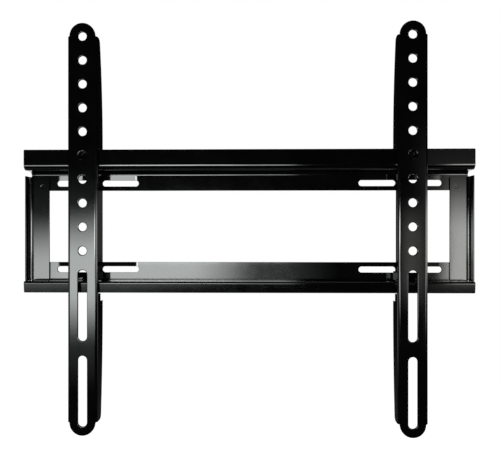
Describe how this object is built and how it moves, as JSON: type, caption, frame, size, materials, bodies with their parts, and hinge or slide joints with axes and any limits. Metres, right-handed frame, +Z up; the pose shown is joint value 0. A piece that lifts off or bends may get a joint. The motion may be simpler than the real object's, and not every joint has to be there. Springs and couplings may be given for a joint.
{
  "type": "fixed tv wall bracket",
  "caption": "Flat black steel wall bracket for a screen: a welded frame of folded rails and side plates, with long holed arms that hook over the rails and slide along them.",
  "frame": {"origin": "centre of the wall slots, on the wall plane", "axes": "+X to the right along the rails, +Y into the wall, +Z up along the arms"},
  "size_m": [0.482, 0.028, 0.433],
  "materials": {
    "black_coat": "gloss black baked coat on folded steel sheet"
  },
  "bodies": {
    "wall_frame": {"top_rail": "black_coat", "bottom_rail": "black_coat", "left_side_plate": "black_coat", "right_side_plate": "black_coat"},
    "left_arm": {"left_arm": "black_coat"},
    "right_arm": {"right_arm": "black_coat"}
  },
  "joints": [
    {"name": "left_arm_slide", "type": "slide", "parent": "wall_frame", "child": "left_arm", "axis": [1, 0, 0], "range_m": [-0.0485, 0.15]},
    {"name": "right_arm_slide", "type": "slide", "parent": "wall_frame", "child": "right_arm", "axis": [1, 0, 0], "range_m": [-0.15, 0.0505]}
  ]
}
